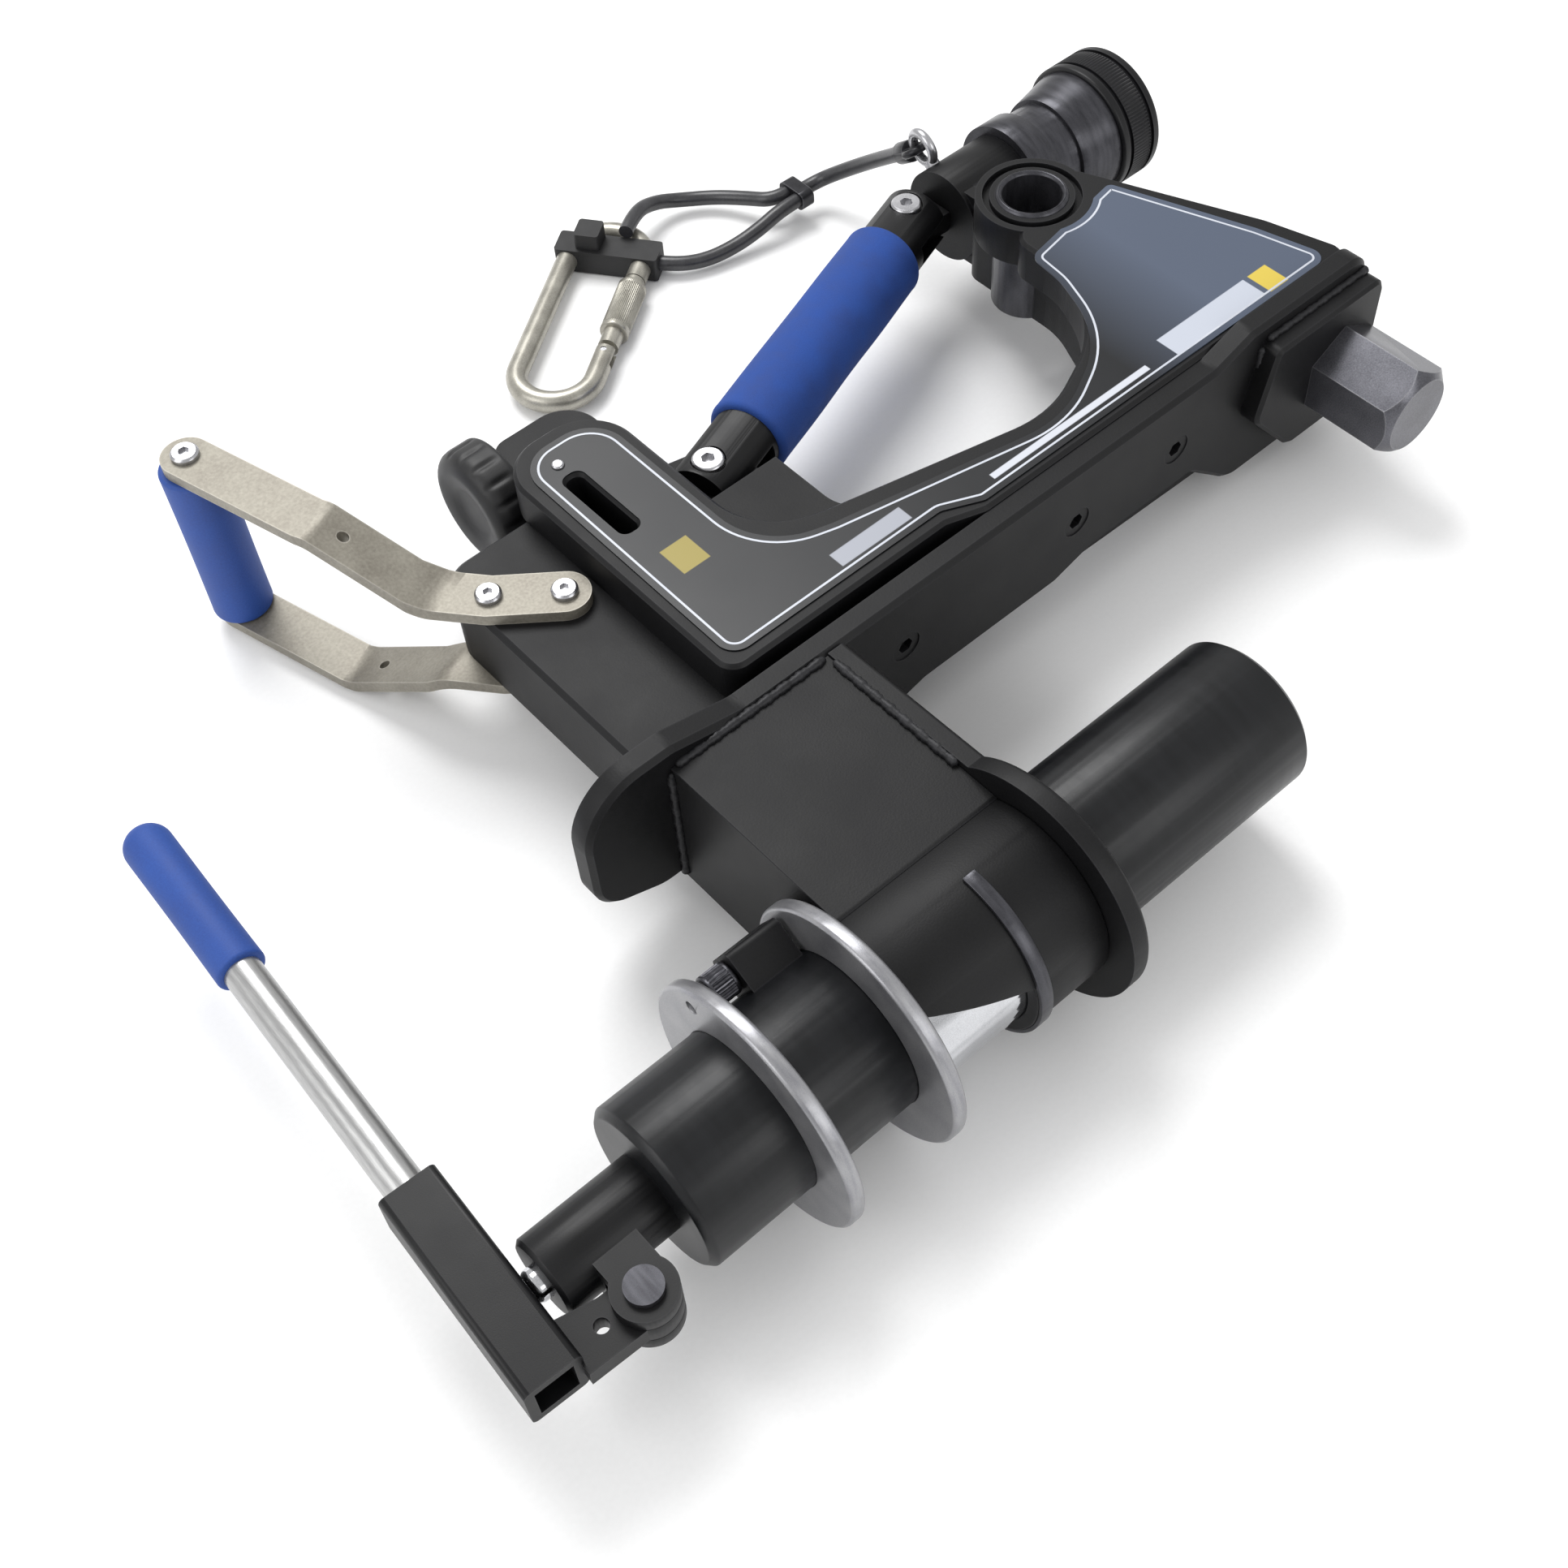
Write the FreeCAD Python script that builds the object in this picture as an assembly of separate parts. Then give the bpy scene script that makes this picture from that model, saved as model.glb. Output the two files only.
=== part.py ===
import FreeCAD, Part
import os, math
from FreeCAD import Vector as V

# Frame: origin on the bearing face of the wing plate, in the tool's middle plane,
# level with the outer face of the bracket flange. +X along the hydraulic axis
# (direction of push), +Y into the open side of the C, +Z up. Millimetres.

# ---- overall sizes
THICK = 72.0            # over both pads of the C body
CORE_T = 36.0           # core plate of the C body
REACH = 102.0           # wing face to hydraulic axis
RING_R = 48.0           # guide rings and flange disc, also the resting height
WING_T = 9.5
WING_L = -118.0         # wing left end
WING_R = 288.0          # wing right end
PIN_Y = 172.0           # stepped pin axis
FLOOR = -RING_R
CLEAR = 0.05            # running clearance on radius
SKIN = 0.3              # separation between parts that only pass each other
HY = -REACH             # hydraulic axis

# ---- hydraulics
BORE_R = 26.0           # piston
BARREL_R = 31.0
RAM_R = 32.0            # plated guide length of the ram
HOLDER_R = 37.0
HOLDER_L = -84.0
SLEEVE_R = 30.5
SLEEVE_END = 101.0
RING_T = 6.0
RING1_X = -90.0         # left face of the front ring
RING2_X = -134.0        # left face of the rear ring
BARREL_END = -176.0
FLANGE_T = 8.0

# ---- pump
PUMP_R = 14.5
PUMP_END = -219.0
PIVOT = V(-199.0, HY - 27.0, 0.0)
LEVER_TILT = -2.6
SOCKET_W = 21.0
SOCKET_H = 22.0
LTUBE_R = 7.0
LGRIP_R = 9.2
PLUNGER_R = 6.0

# ---- stub
HEX_AF = 36.0
HEX_X = 264.0
HEX_TIP = -50.0
BLOCK_T = 9.0

# ---- handles
STRUT_A = V(34.0, 118.0, 0.0)
STRUT_B = V(196.0, 176.4, 0.0)
STRUT_R = 15.0
STRUT_GRIP_R = 18.0
BAR_T = 5.0
BAR_W = 20.0
CARRY_SPREAD = 22.0     # how far each bar steps outward
CARRY_R = 12.5
GRIP_P = V(-126.0, 233.5, 0.0)

# ---- carabiner and lanyard
CAR_BAR = 5.0
CAR_C = V(84.1, 274.6, 0.0)
CAR_ANG = 35.4
CAR_L = 116.0
CAR_W = 36.0
CORD_R = 3.5

OUT = {}


def box(x0, x1, y0, y1, z0, z1):
    return Part.makeBox(x1 - x0, y1 - y0, z1 - z0, V(x0, y0, z0))


def cyl(p, d, r, h):
    return Part.makeCylinder(r, h, p, d)


def xcyl(x0, x1, r, y=HY, z=0.0):
    return cyl(V(x0, y, z), V(1, 0, 0), r, x1 - x0)


def zcyl(x, y, z0, z1, r):
    return cyl(V(x, y, z0), V(0, 0, 1), r, z1 - z0)


def ycyl(x, z, y0, y1, r):
    return cyl(V(x, y0, z), V(0, 1, 0), r, y1 - y0)


def rounded(points):
    """Closed wire through corner points; each is (x, y) or (x, y, radius)."""
    n = len(points)
    pts = [V(p[0], p[1], 0) for p in points]
    cuts = []
    for i in range(n):
        r = points[i][2] if len(points[i]) > 2 else 0.0
        a = (pts[i - 1] - pts[i]).normalize()
        b = (pts[(i + 1) % n] - pts[i]).normalize()
        if r == 0.0:
            cuts.append((pts[i], None, pts[i]))
            continue
        half = a.getAngle(b) / 2
        t = r / math.tan(half)
        mid = (a + b).normalize()
        centre = pts[i] + mid * (r / math.sin(half))
        cuts.append((pts[i] + a * t, centre - mid * r, pts[i] + b * t))
    edges = []
    for i in range(n):
        start, middle, end = cuts[i]
        if middle is not None:
            edges.append(Part.Arc(start, middle, end).toShape())
        nxt = cuts[(i + 1) % n][0]
        if (nxt - end).Length > 1e-4:
            edges.append(Part.LineSegment(end, nxt).toShape())
    return Part.Wire(edges)


def plate(points, z0, z1):
    face = Part.Face(rounded(points))
    face.translate(V(0, 0, z0))
    return face.extrude(V(0, 0, z1 - z0))


def xz_plate(points, y0, y1):
    """Plate drawn in (x, z), extruded along +Y from y0 to y1."""
    face = Part.Face(rounded(points))
    face.rotate(V(0, 0, 0), V(1, 0, 0), 90)
    face.translate(V(0, y0, 0))
    return face.extrude(V(0, y1 - y0, 0))


def yz_plate(points, x0, x1):
    """Plate drawn in (y, z), extruded along +X from x0 to x1."""
    face = Part.Face(rounded(points))
    face.rotate(V(0, 0, 0), V(1, 0, 0), 90)
    face.rotate(V(0, 0, 0), V(0, 0, 1), 90)
    face.translate(V(x0, 0, 0))
    return face.extrude(V(x1 - x0, 0, 0))


def hexagon(p, d, af, h, spin=0.0):
    r = af / math.sqrt(3)
    pts = [V(r * math.cos(math.radians(60 * i + spin)), r * math.sin(math.radians(60 * i + spin)), 0)
           for i in range(6)]
    face = Part.Face(Part.makePolygon(pts + [pts[0]]))
    body = face.extrude(V(0, 0, h))
    turn = FreeCAD.Rotation(V(0, 0, 1), d)
    body.Placement = FreeCAD.Placement(p, turn)
    return body


def chamfer(shape, size, pick):
    edges = [e for e in shape.Edges if pick(e)]
    return shape.makeChamfer(size, edges)


def fillet(shape, size, pick):
    edges = [e for e in shape.Edges if pick(e)]
    return shape.makeFillet(size, edges)


def flat_at(axis, value, tol=1e-4):
    """Edge selector: every point of the edge lies at the given coordinate."""
    def test(e):
        box_ = e.BoundBox
        low = getattr(box_, axis.upper() + "Min")
        high = getattr(box_, axis.upper() + "Max")
        return abs(low - value) < tol and abs(high - value) < tol
    return test


def fuse(*shapes):
    out = shapes[0]
    for s in shapes[1:]:
        out = out.fuse(s)
    return out.removeSplitter()


def screw(p, d, head_r, head_h, shank_r, shank_h, socket_r=0.0):
    """Button head standing on p with its shank going the other way."""
    head = cyl(p, d, head_r, head_h)
    head = head.makeChamfer(head_h * 0.35, [e for e in head.Edges
                                             if isinstance(e.Curve, Part.Circle)
                                             and (e.CenterOfMass - (p + d * head_h)).Length < 0.01])
    body = head.fuse(cyl(p - d * shank_h, d, shank_r, shank_h))
    if socket_r:
        body = body.cut(hexagon(p + d * (head_h * 0.4), d, socket_r * 2, head_h))
    return body.removeSplitter()


def put(name, shape):
    OUT[name] = shape


# ================= C body: core plate with a raised pad on each face
HC = CORE_T / 2
HT = THICK / 2
PAD_T = HT - HC
WALL_Y = WING_T         # the body is bolted against the back of the wing
BOSS = V(219.0, 124.0, 0.0)
BOSS_R = 24.0
BOSS_HOLE = 12.5
BUSH_R = 15.5
ARM_L = -40.0           # outer edge of the pad on the left arm
ARM_R = 10.0
KNOB_Y = 172.0
TIP_Y = 172.0

core_points = [(-82, WALL_Y), (-82, 140, 14), (-28, 140), (-28, TIP_Y + 8, 8), (14, TIP_Y + 8, 16),
               (14, 138, 8), (44, 131, 10), (52, 104, 8), (52, 56, 18), (133, 30, 60), (190, 50, 40),
               (210, 96, 40), (210, 150, 8), (222, 158, 4), (222, 168), (246, 168), (246, 150), (248, 126, 10),
               (282, 44, 20), (286, WALL_Y)]
core = plate(core_points, -HC, HC)
for z0, z1 in ((5.0, HC + 1), (-HC - 1, -5.0)):
    core = core.cut(box(14, 66, 98, 145, z0, z1))
knob_bore = xcyl(ARM_L - 30, 2, 6.0, KNOB_Y)
core = core.cut(knob_bore)
bush_hole = zcyl(BOSS.x, BOSS.y, -HT - 1, HT + 1, BUSH_R)
core = core.cut(bush_hole)
slot = plate([(-26, 92, 3.5), (-26, 130, 3.5), (-18, 130, 3.5), (-18, 92, 3.5)], -HC - 1, HC + 1)
core = core.cut(slot)
strut_bolt_r = 4.0
core = core.cut(zcyl(STRUT_A.x, STRUT_A.y, -30, 30, strut_bolt_r))
core = chamfer(core, 2.0, lambda e: flat_at("z", HC)(e) and e.BoundBox.XMin < -60 and e.BoundBox.YMax > 20)
put("core_plate", core)

pad_points = [(ARM_L, 15, 8), (ARM_L, 156, 20), (ARM_R, 156, 22), (ARM_R, 62, 30), (34, 52, 30),
              (133, 29, 50), (180, 50, 60), (194, 84, 40), (194, 110, 10), (244, 124, 4), (276, 46, 24), (286, WALL_Y, 6), (80, WALL_Y, 6), (64, 15, 6)]
boss_disc = zcyl(BOSS.x, BOSS.y, HC, HT, BOSS_R)
top_pad = plate(pad_points, HC, HT).fuse(boss_disc).removeSplitter()
groove = zcyl(BOSS.x, BOSS.y, HT - 3, HT + 1, BOSS_R - 3).cut(zcyl(BOSS.x, BOSS.y, HT - 4, HT + 2, BUSH_R + 2.5))
top_pad = top_pad.cut(groove).cut(bush_hole)
slot_top = plate([(-26, 92, 3.5), (-26, 130, 3.5), (-18, 130, 3.5), (-18, 92, 3.5)], HC - 1, HT + 1)
top_pad = top_pad.cut(slot_top)
top_pad = chamfer(top_pad, 1.5, lambda e: flat_at("z", HT)(e) and e.Length > 30
                  and (e.BoundBox.Center - V(BOSS.x, BOSS.y, HT)).Length > 14)
put("top_pad", top_pad)

low_points = [(ARM_L, 15, 8), (ARM_L, 156, 20), (ARM_R, 156, 22), (ARM_R, 62, 30), (34, 52, 30),
              (133, 29, 50), (196, 46, 40), (224, 84, 12), (260, 84, 8), (276, 46, 24), (286, WALL_Y, 6)]
bottom_pad = plate(low_points, -HT, -HC).cut(bush_hole)
bottom_pad = bottom_pad.cut(plate([(-26, 92, 3.5), (-26, 130, 3.5), (-18, 130, 3.5), (-18, 92, 3.5)], -HT - 1, -HC + 1))
put("bottom_pad", bottom_pad)

# thin blank cover sheet in the outline of the pad
sheet_points = [(ARM_L + 5, 20, 8), (ARM_L + 6, 149, 15), (ARM_R - 5, 149, 17), (ARM_R - 5, 52, 30),
                (34, 43, 26), (133, 22, 50), (176, 44, 56), (188, 78, 34), (190, 96, 6), (246, 106, 3),
                (268, 44, 20), (276, WALL_Y + 3, 6), (82, WALL_Y + 3, 6), (66, 20, 6)]
sheet = plate(sheet_points, HT, HT + 0.6)
sheet = sheet.cut(zcyl(BOSS.x, BOSS.y, HT - 1, HT + 2, BOSS_R + 1.5))
sheet = sheet.cut(plate([(-27, 91, 4), (-27, 131, 4), (-17, 131, 4), (-17, 91, 4)], HT - 1, HT + 2))
put("cover_sheet", sheet)

bush = zcyl(BOSS.x, BOSS.y, -HC, HT + 1.5, BUSH_R).cut(zcyl(BOSS.x, BOSS.y, -HT - 3, HT + 3, BOSS_HOLE))
bush = chamfer(bush, 1.2, flat_at("z", HT + 1.5))
put("boss_bush", bush)

gauge_pin = zcyl(-22, 137.5, HT - 8, HT + 1.8, 2.6)
put("gauge_rivet", fillet(gauge_pin, 1.0, flat_at("z", HT + 1.8)))
for name in ("top_pad", "cover_sheet"):
    OUT[name] = OUT[name].cut(gauge_pin)

# ================= wing plate with a mounting block and hexagon stub
wing_points = [(WING_L, -18, 18), (WING_L, 42, 26), (-78, 42, 14), (-46, HT - 2, 14), (196, HT - 2, 8), (216, 41, 8),
               (WING_R - 2, 41, 12), (WING_R, -38, 12), (214, -38, 14), (188, -16, 10), (130, -16, 10), (110, -22, 10),
               (40, -22, 10), (10, -30, 10), (-90, -30, 20)]
wing = xz_plate(wing_points, 0, WING_T)
wing = chamfer(wing, 2.0, lambda e: flat_at("y", 0)(e))
fix_xs = [-60.0, 30.0, 120.0, 176.0]
FIX_R = 4.0
for x in fix_xs:
    wing = wing.cut(ycyl(x, 6.0, -1, WING_T + 1, FIX_R)).cut(ycyl(x, 6.0, -1, 5.5, FIX_R + 2.6))
put("wing_plate", wing)

core = OUT["core_plate"]
screws = []
for x in fix_xs:
    core = core.cut(ycyl(x, 6.0, WALL_Y - 1, WALL_Y + 18, FIX_R))
    shank = ycyl(x, 6.0, 5.5, WALL_Y + 18, FIX_R)
    head = ycyl(x, 6.0, 0.5, 5.5, FIX_R + 2.6)
    screws.append(head.fuse(shank).removeSplitter().cut(hexagon(V(x, 3.5, 6.0), V(0, -1, 0), 6.0, 4.0)))
OUT["core_plate"] = core
put("wing_screws", Part.makeCompound(screws))

block = xz_plate([(222, 33, 4), (286, 33, 6), (286, -30, 8), (240, -30, 8), (214, 0, 8)], -BLOCK_T, 0)
block = chamfer(block, 1.5, flat_at("y", -BLOCK_T))
put("stub_block", block)
stub = hexagon(V(HEX_X, -BLOCK_T, 0), V(0, -1, 0), HEX_AF, -HEX_TIP - BLOCK_T, 30)
cone = Part.makeCone(HEX_AF * 0.6 + 44, HEX_AF * 0.5 - 2, 44 + HEX_AF * 0.1 + 2, V(HEX_X, HEX_TIP + 44 + HEX_AF * 0.1 + 2, 0),
                     V(0, -1, 0))
stub = stub.common(cone)
put("hex_stub", stub)

# ================= bracket: box arm, holder barrel, flange
holder = xcyl(HOLDER_L, -FLANGE_T, HOLDER_R).cut(xcyl(HOLDER_L - 1, 0, RAM_R + CLEAR))
window = xz_plate([(HOLDER_L - 1, -60), (-42, -60), (-42, 12), (HOLDER_L - 1, 29)], HY - 60, HY + 2)
holder = holder.cut(window)
put("holder_barrel", holder)

arm_outer = yz_plate([(HY + 24, -33, 4), (0, -33), (0, 33), (HY + 12, 33, 6)], -80, -FLANGE_T)
arm = arm_outer.cut(xcyl(HOLDER_L - 1, 0, HOLDER_R))
put("box_arm", arm)

flange_disc = xcyl(-FLANGE_T, 0, RING_R)
flange_web = yz_plate([(HY, -36), (HY + 30, -36), (0, -34), (0, 34), (HY + 30, 36), (HY, 36)], -FLANGE_T, 0)
flange = fuse(flange_disc, flange_web).cut(xcyl(-FLANGE_T - 1, 1, RAM_R + CLEAR))
flange = fillet(flange, 2.0, lambda e: flat_at("x", 0)(e) and abs(e.BoundBox.Center.y - HY) > 2)
put("end_flange", flange)

# ================= hydraulic cartridge
barrel = xcyl(BARREL_END, RING1_X + RING_T, BARREL_R)
bore_end = BARREL_END + 12
barrel = barrel.cut(xcyl(bore_end, 10, BORE_R + CLEAR))
barrel = chamfer(barrel, 2.5, flat_at("x", BARREL_END))
port = cyl(V(bore_end + 4, HY, 0), V(-1, 0, 0), 3.0, 20)
barrel = barrel.cut(port)
put("barrel", barrel)


def guide_ring(x0, notch):
    ring = xcyl(x0, x0 + RING_T, RING_R).cut(xcyl(x0 - 1, x0 + RING_T + 1, BARREL_R))
    ring = chamfer(ring, 1.0, lambda e: abs(e.BoundBox.YLength - 2 * RING_R) < 1)
    if notch:
        a = math.radians(50)
        p = V(x0 - 1, HY + (RING_R - 7) * math.cos(a), (RING_R - 7) * math.sin(a))
        ring = ring.cut(cyl(p, V(1, 0, 0), 2.5, RING_T + 2))
    return ring


put("ring_front", guide_ring(RING1_X, False))
put("ring_rear", guide_ring(RING2_X, True))

# ram with piston, seal and thrust sleeve
ram = xcyl(HOLDER_L + 0.6, -0.0, RAM_R)
PISTON_X = BARREL_END + 13.0
PISTON_T = 10.0
ROD_R = BORE_R - 4.0
SPIGOT_R = 22.0
SPIGOT_L = 24.0
ram = ram.fuse(xcyl(PISTON_X, HOLDER_L + 1, ROD_R)).fuse(xcyl(PISTON_X, PISTON_X + PISTON_T, BORE_R)).removeSplitter()
seal_x = PISTON_X + 3.0
seal_groove = xcyl(seal_x, seal_x + 4, BORE_R + 1).cut(xcyl(seal_x - 1, seal_x + 5, BORE_R - 3))
ram = ram.cut(seal_groove).fuse(xcyl(0, SPIGOT_L, SPIGOT_R)).removeSplitter()
put("ram", ram)
put("piston_seal", xcyl(seal_x, seal_x + 4, BORE_R).cut(xcyl(seal_x - 1, seal_x + 5, BORE_R - 3)))
ram_guide = xcyl(RING1_X - 8, RING1_X + RING_T, BORE_R + CLEAR).cut(xcyl(-110, -70, ROD_R + CLEAR))
put("ram_guide", ram_guide)

thrust = xcyl(0, SLEEVE_END, SLEEVE_R).cut(xcyl(-1, SPIGOT_L, SPIGOT_R)).cut(xcyl(40, SLEEVE_END + 1, 20))
thrust = chamfer(thrust, 2.0, lambda e: flat_at("x", SLEEVE_END)(e) and e.BoundBox.YLength > 2 * SLEEVE_R - 2)
put("thrust_sleeve", thrust)

wiper = xcyl(-41.5, -36, HOLDER_R + 1.5).cut(xcyl(-50, -30, HOLDER_R)).cut(box(-60, 0, HY - 0, HY + 80, -60, 60))
put("holder_band", wiper)

# valve block and release screw
VALVE_L, VALVE_R = -113.0, -92.0
VALVE_ANG = math.radians(30)
VALVE_OUT = BARREL_R + 7.0          # screw axis from the hydraulic axis
SCREW_R = 3.0
rise_dir = V(0, math.cos(VALVE_ANG), math.sin(VALVE_ANG))
side_dir = V(1, 0, 0).cross(rise_dir)
vblock = box(VALVE_L, VALVE_R, -9, 9, BARREL_R - 3, BARREL_R + 14)
vblock = fillet(vblock, 2.5, lambda e: e.BoundBox.XLength > 10 and e.BoundBox.Center.z > BARREL_R + 10)
valve_turn = FreeCAD.Placement(V(0, HY, 0), FreeCAD.Rotation(V(1, 0, 0), side_dir * -1, rise_dir, "ZXY"))
vblock.Placement = valve_turn
screw_at = V(0, HY, 0) + rise_dir * VALVE_OUT
vblock = vblock.cut(xcyl(-200, 0, BARREL_R))
vblock = vblock.cut(xcyl(VALVE_L - 1, VALVE_L + 14, SCREW_R + CLEAR, screw_at.y, screw_at.z))
put("valve_block", vblock.removeSplitter())
rscrew = xcyl(VALVE_L - 1, VALVE_L + 13, SCREW_R, screw_at.y, screw_at.z)
rknob = xcyl(VALVE_L - SKIN - 10, VALVE_L - SKIN, 6.2, screw_at.y, screw_at.z)
rknob = chamfer(rknob, 1.0, flat_at("x", VALVE_L - SKIN - 10))
put("release_screw", rknob.fuse(rscrew).removeSplitter())

# ================= pump block, pivot lug, plunger
pump = xcyl(PUMP_END, BARREL_END, PUMP_R)
pump = chamfer(pump, 1.5, flat_at("x", PUMP_END))
pump = pump.cut(xcyl(PUMP_END - 1, BARREL_END - 4, PLUNGER_R + CLEAR))
neck = box(PIVOT.x - 7, PIVOT.x + 10, PIVOT.y, HY - 2, -10, 10)
eye = zcyl(PIVOT.x, PIVOT.y, -10, 10, 11)
pump = pump.fuse(neck).fuse(eye).cut(xcyl(PUMP_END - 1, BARREL_END - 4, PLUNGER_R + CLEAR)).removeSplitter()
PIN_R = 4.0
pump = pump.cut(zcyl(PIVOT.x, PIVOT.y, -20, 20, PIN_R)).cut(zcyl(PIVOT.x, PIVOT.y, -4.4, 4.4, 13.5))
put("pump_block", pump)
pivot_pin = zcyl(PIVOT.x, PIVOT.y, -11.5, 11.5, PIN_R)
heads = zcyl(PIVOT.x, PIVOT.y, 10, 12.5, 6.5).fuse(zcyl(PIVOT.x, PIVOT.y, -12.5, -10, 6.5))
put("pivot_pin", pivot_pin.fuse(heads).removeSplitter())

# the flat side of the lever socket pushes the plunger head
PLUNGER_HEAD = PIVOT.x - 24.9
plunger = xcyl(PLUNGER_HEAD, BARREL_END - 8, PLUNGER_R)
plunger = fillet(plunger, 2.5, flat_at("x", PLUNGER_HEAD))
put("plunger", plunger)

# ================= lever: built along +Y from the pivot, then tilted about it
SX = -246.5 - PIVOT.x
S0 = -5.0
S1 = 75.0


def tilt(shape):
    s = shape.copy()
    s.rotate(PIVOT, V(0, 0, 1), LEVER_TILT)
    return s


sx = PIVOT.x + SX
socket = box(sx, sx + SOCKET_W, PIVOT.y + S0, PIVOT.y + S1, -SOCKET_H / 2, SOCKET_H / 2)
socket = fillet(socket, 2.5, lambda e: e.BoundBox.YLength > 70 and e.BoundBox.XLength < 0.1)
cx = sx + SOCKET_W / 2
socket = socket.cut(ycyl(cx, 0, PIVOT.y + 34, PIVOT.y + S1 + 1, LTUBE_R))
socket = socket.cut(box(sx + 3.5, sx + SOCKET_W - 3.5, PIVOT.y + S0 - 1, PIVOT.y + 22, -SOCKET_H / 2 + 3.5, SOCKET_H / 2 - 3.5))
rocker_points = [(sx + SOCKET_W - 1, PIVOT.y - 9), (PIVOT.x, PIVOT.y - 9), (PIVOT.x, PIVOT.y + 9),
                 (PIVOT.x - 12, PIVOT.y + 9, 4), (sx + SOCKET_W - 1, PIVOT.y + 12)]
rocker = plate(rocker_points, -4.0, 4.0).fuse(zcyl(PIVOT.x, PIVOT.y, -4.0, 4.0, 11)).removeSplitter()
rocker = rocker.cut(zcyl(PIVOT.x, PIVOT.y, -10, 10, PIN_R + CLEAR))
rocker = rocker.cut(zcyl(PIVOT.x - 16, PIVOT.y + 1, -10, 10, 2.6))
socket = socket.fuse(rocker).removeSplitter()
put("lever_socket", tilt(socket))
lever_end = 257.0
tube = ycyl(cx, 0, PIVOT.y + 34, PIVOT.y + 200, LTUBE_R).cut(ycyl(cx, 0, PIVOT.y + 33, PIVOT.y + 201, LTUBE_R - 1.5))
put("lever_tube", tilt(tube))
grip = ycyl(cx, 0, PIVOT.y + 182, PIVOT.y + lever_end, LGRIP_R)
grip = fillet(grip, 8.0, flat_at("y", PIVOT.y + lever_end))
grip = fillet(grip, 1.5, flat_at("y", PIVOT.y + 182))
grip = grip.cut(ycyl(cx, 0, PIVOT.y + 170, PIVOT.y + 200, LTUBE_R)).removeSplitter()
put("lever_grip", tilt(grip))

# ================= stepped pin in its hub
HUB_L = 214.0
HUB_R = 250.0
hub = xcyl(HUB_L, HUB_R, 21.0, PIN_Y)
PIN_CORE = 12.0
hub = hub.fuse(box(HUB_L + 2, HUB_R - 2, 150, PIN_Y, -HC, HC)).cut(OUT["core_plate"])
hub = hub.cut(zcyl(BOSS.x, BOSS.y, -50, 50, BOSS_R + 0.5)).cut(OUT["top_pad"])
hub = hub.cut(xcyl(HUB_L + 5, HUB_R + 1, PIN_CORE + CLEAR, PIN_Y)).removeSplitter()
put("pin_hub", hub)
OUT["core_plate"] = OUT["core_plate"].cut(xcyl(HUB_L + 5, HUB_R + 1, PIN_CORE + CLEAR, PIN_Y))
pin = xcyl(HUB_L + 6, HUB_R + 1, PIN_CORE, PIN_Y)
x = HUB_R + SKIN
for step, r in ((13.5, 25.0), (14.5, 22.5)):
    pin = pin.fuse(xcyl(x, x + step, r, PIN_Y))
    x += step
pin = pin.fuse(Part.makeCone(24.5, 28.5, 20, V(x, PIN_Y, 0), V(1, 0, 0)))
x += 20
COLLAR_R = 30.5
COLLAR_L = 23.0
pin = pin.fuse(xcyl(x, x + COLLAR_L - 7, 16.0, PIN_Y)).removeSplitter()
put("stepped_pin", pin)
collar = xcyl(x, x + COLLAR_L, COLLAR_R, PIN_Y).cut(xcyl(x - 1, x + COLLAR_L - 7, 16.0, PIN_Y))
collar = chamfer(collar, 2.0, lambda e: abs(e.BoundBox.YLength - 2 * COLLAR_R) < 0.5)
for g in (4.0, 17.0):
    groove_ = xcyl(x + g, x + g + 2, COLLAR_R + 1, PIN_Y).cut(xcyl(x + g - 1, x + g + 3, COLLAR_R - 1.5, PIN_Y))
    collar = collar.cut(groove_)
put("knurled_collar", collar.removeSplitter())

# ================= round end knob at the tip of the left arm
KNOB_R = 26.0
kx = -28.0 - SKIN
knob = xcyl(kx - 18, kx, KNOB_R, KNOB_Y)
knob = fillet(knob, 8.0, flat_at("x", kx - 18))
knob = fillet(knob, 2.0, flat_at("x", kx))
knob = knob.cut(xcyl(kx - 12, kx + 1, 6.0 - CLEAR, KNOB_Y))
put("end_knob", knob)
stud = xcyl(kx - 12, 1.5, 6.0 - CLEAR, KNOB_Y)
put("knob_stud", chamfer(stud, 0.8, flat_at("x", 1.5)))

# ================= strut handle across the mouth of the C
direction = (STRUT_B - STRUT_A).normalize()
length = (STRUT_B - STRUT_A).Length
LUG_T = 5.0
END = 9.0
square = FreeCAD.Rotation(V(1, 0, 0), direction)


def along(s):
    return STRUT_A + direction * s


def strut_slot(s0, s1):
    b = box(s0, s1, -30, 30, -LUG_T - CLEAR, LUG_T + CLEAR)
    b.Placement = FreeCAD.Placement(STRUT_A, square)
    return b


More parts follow.
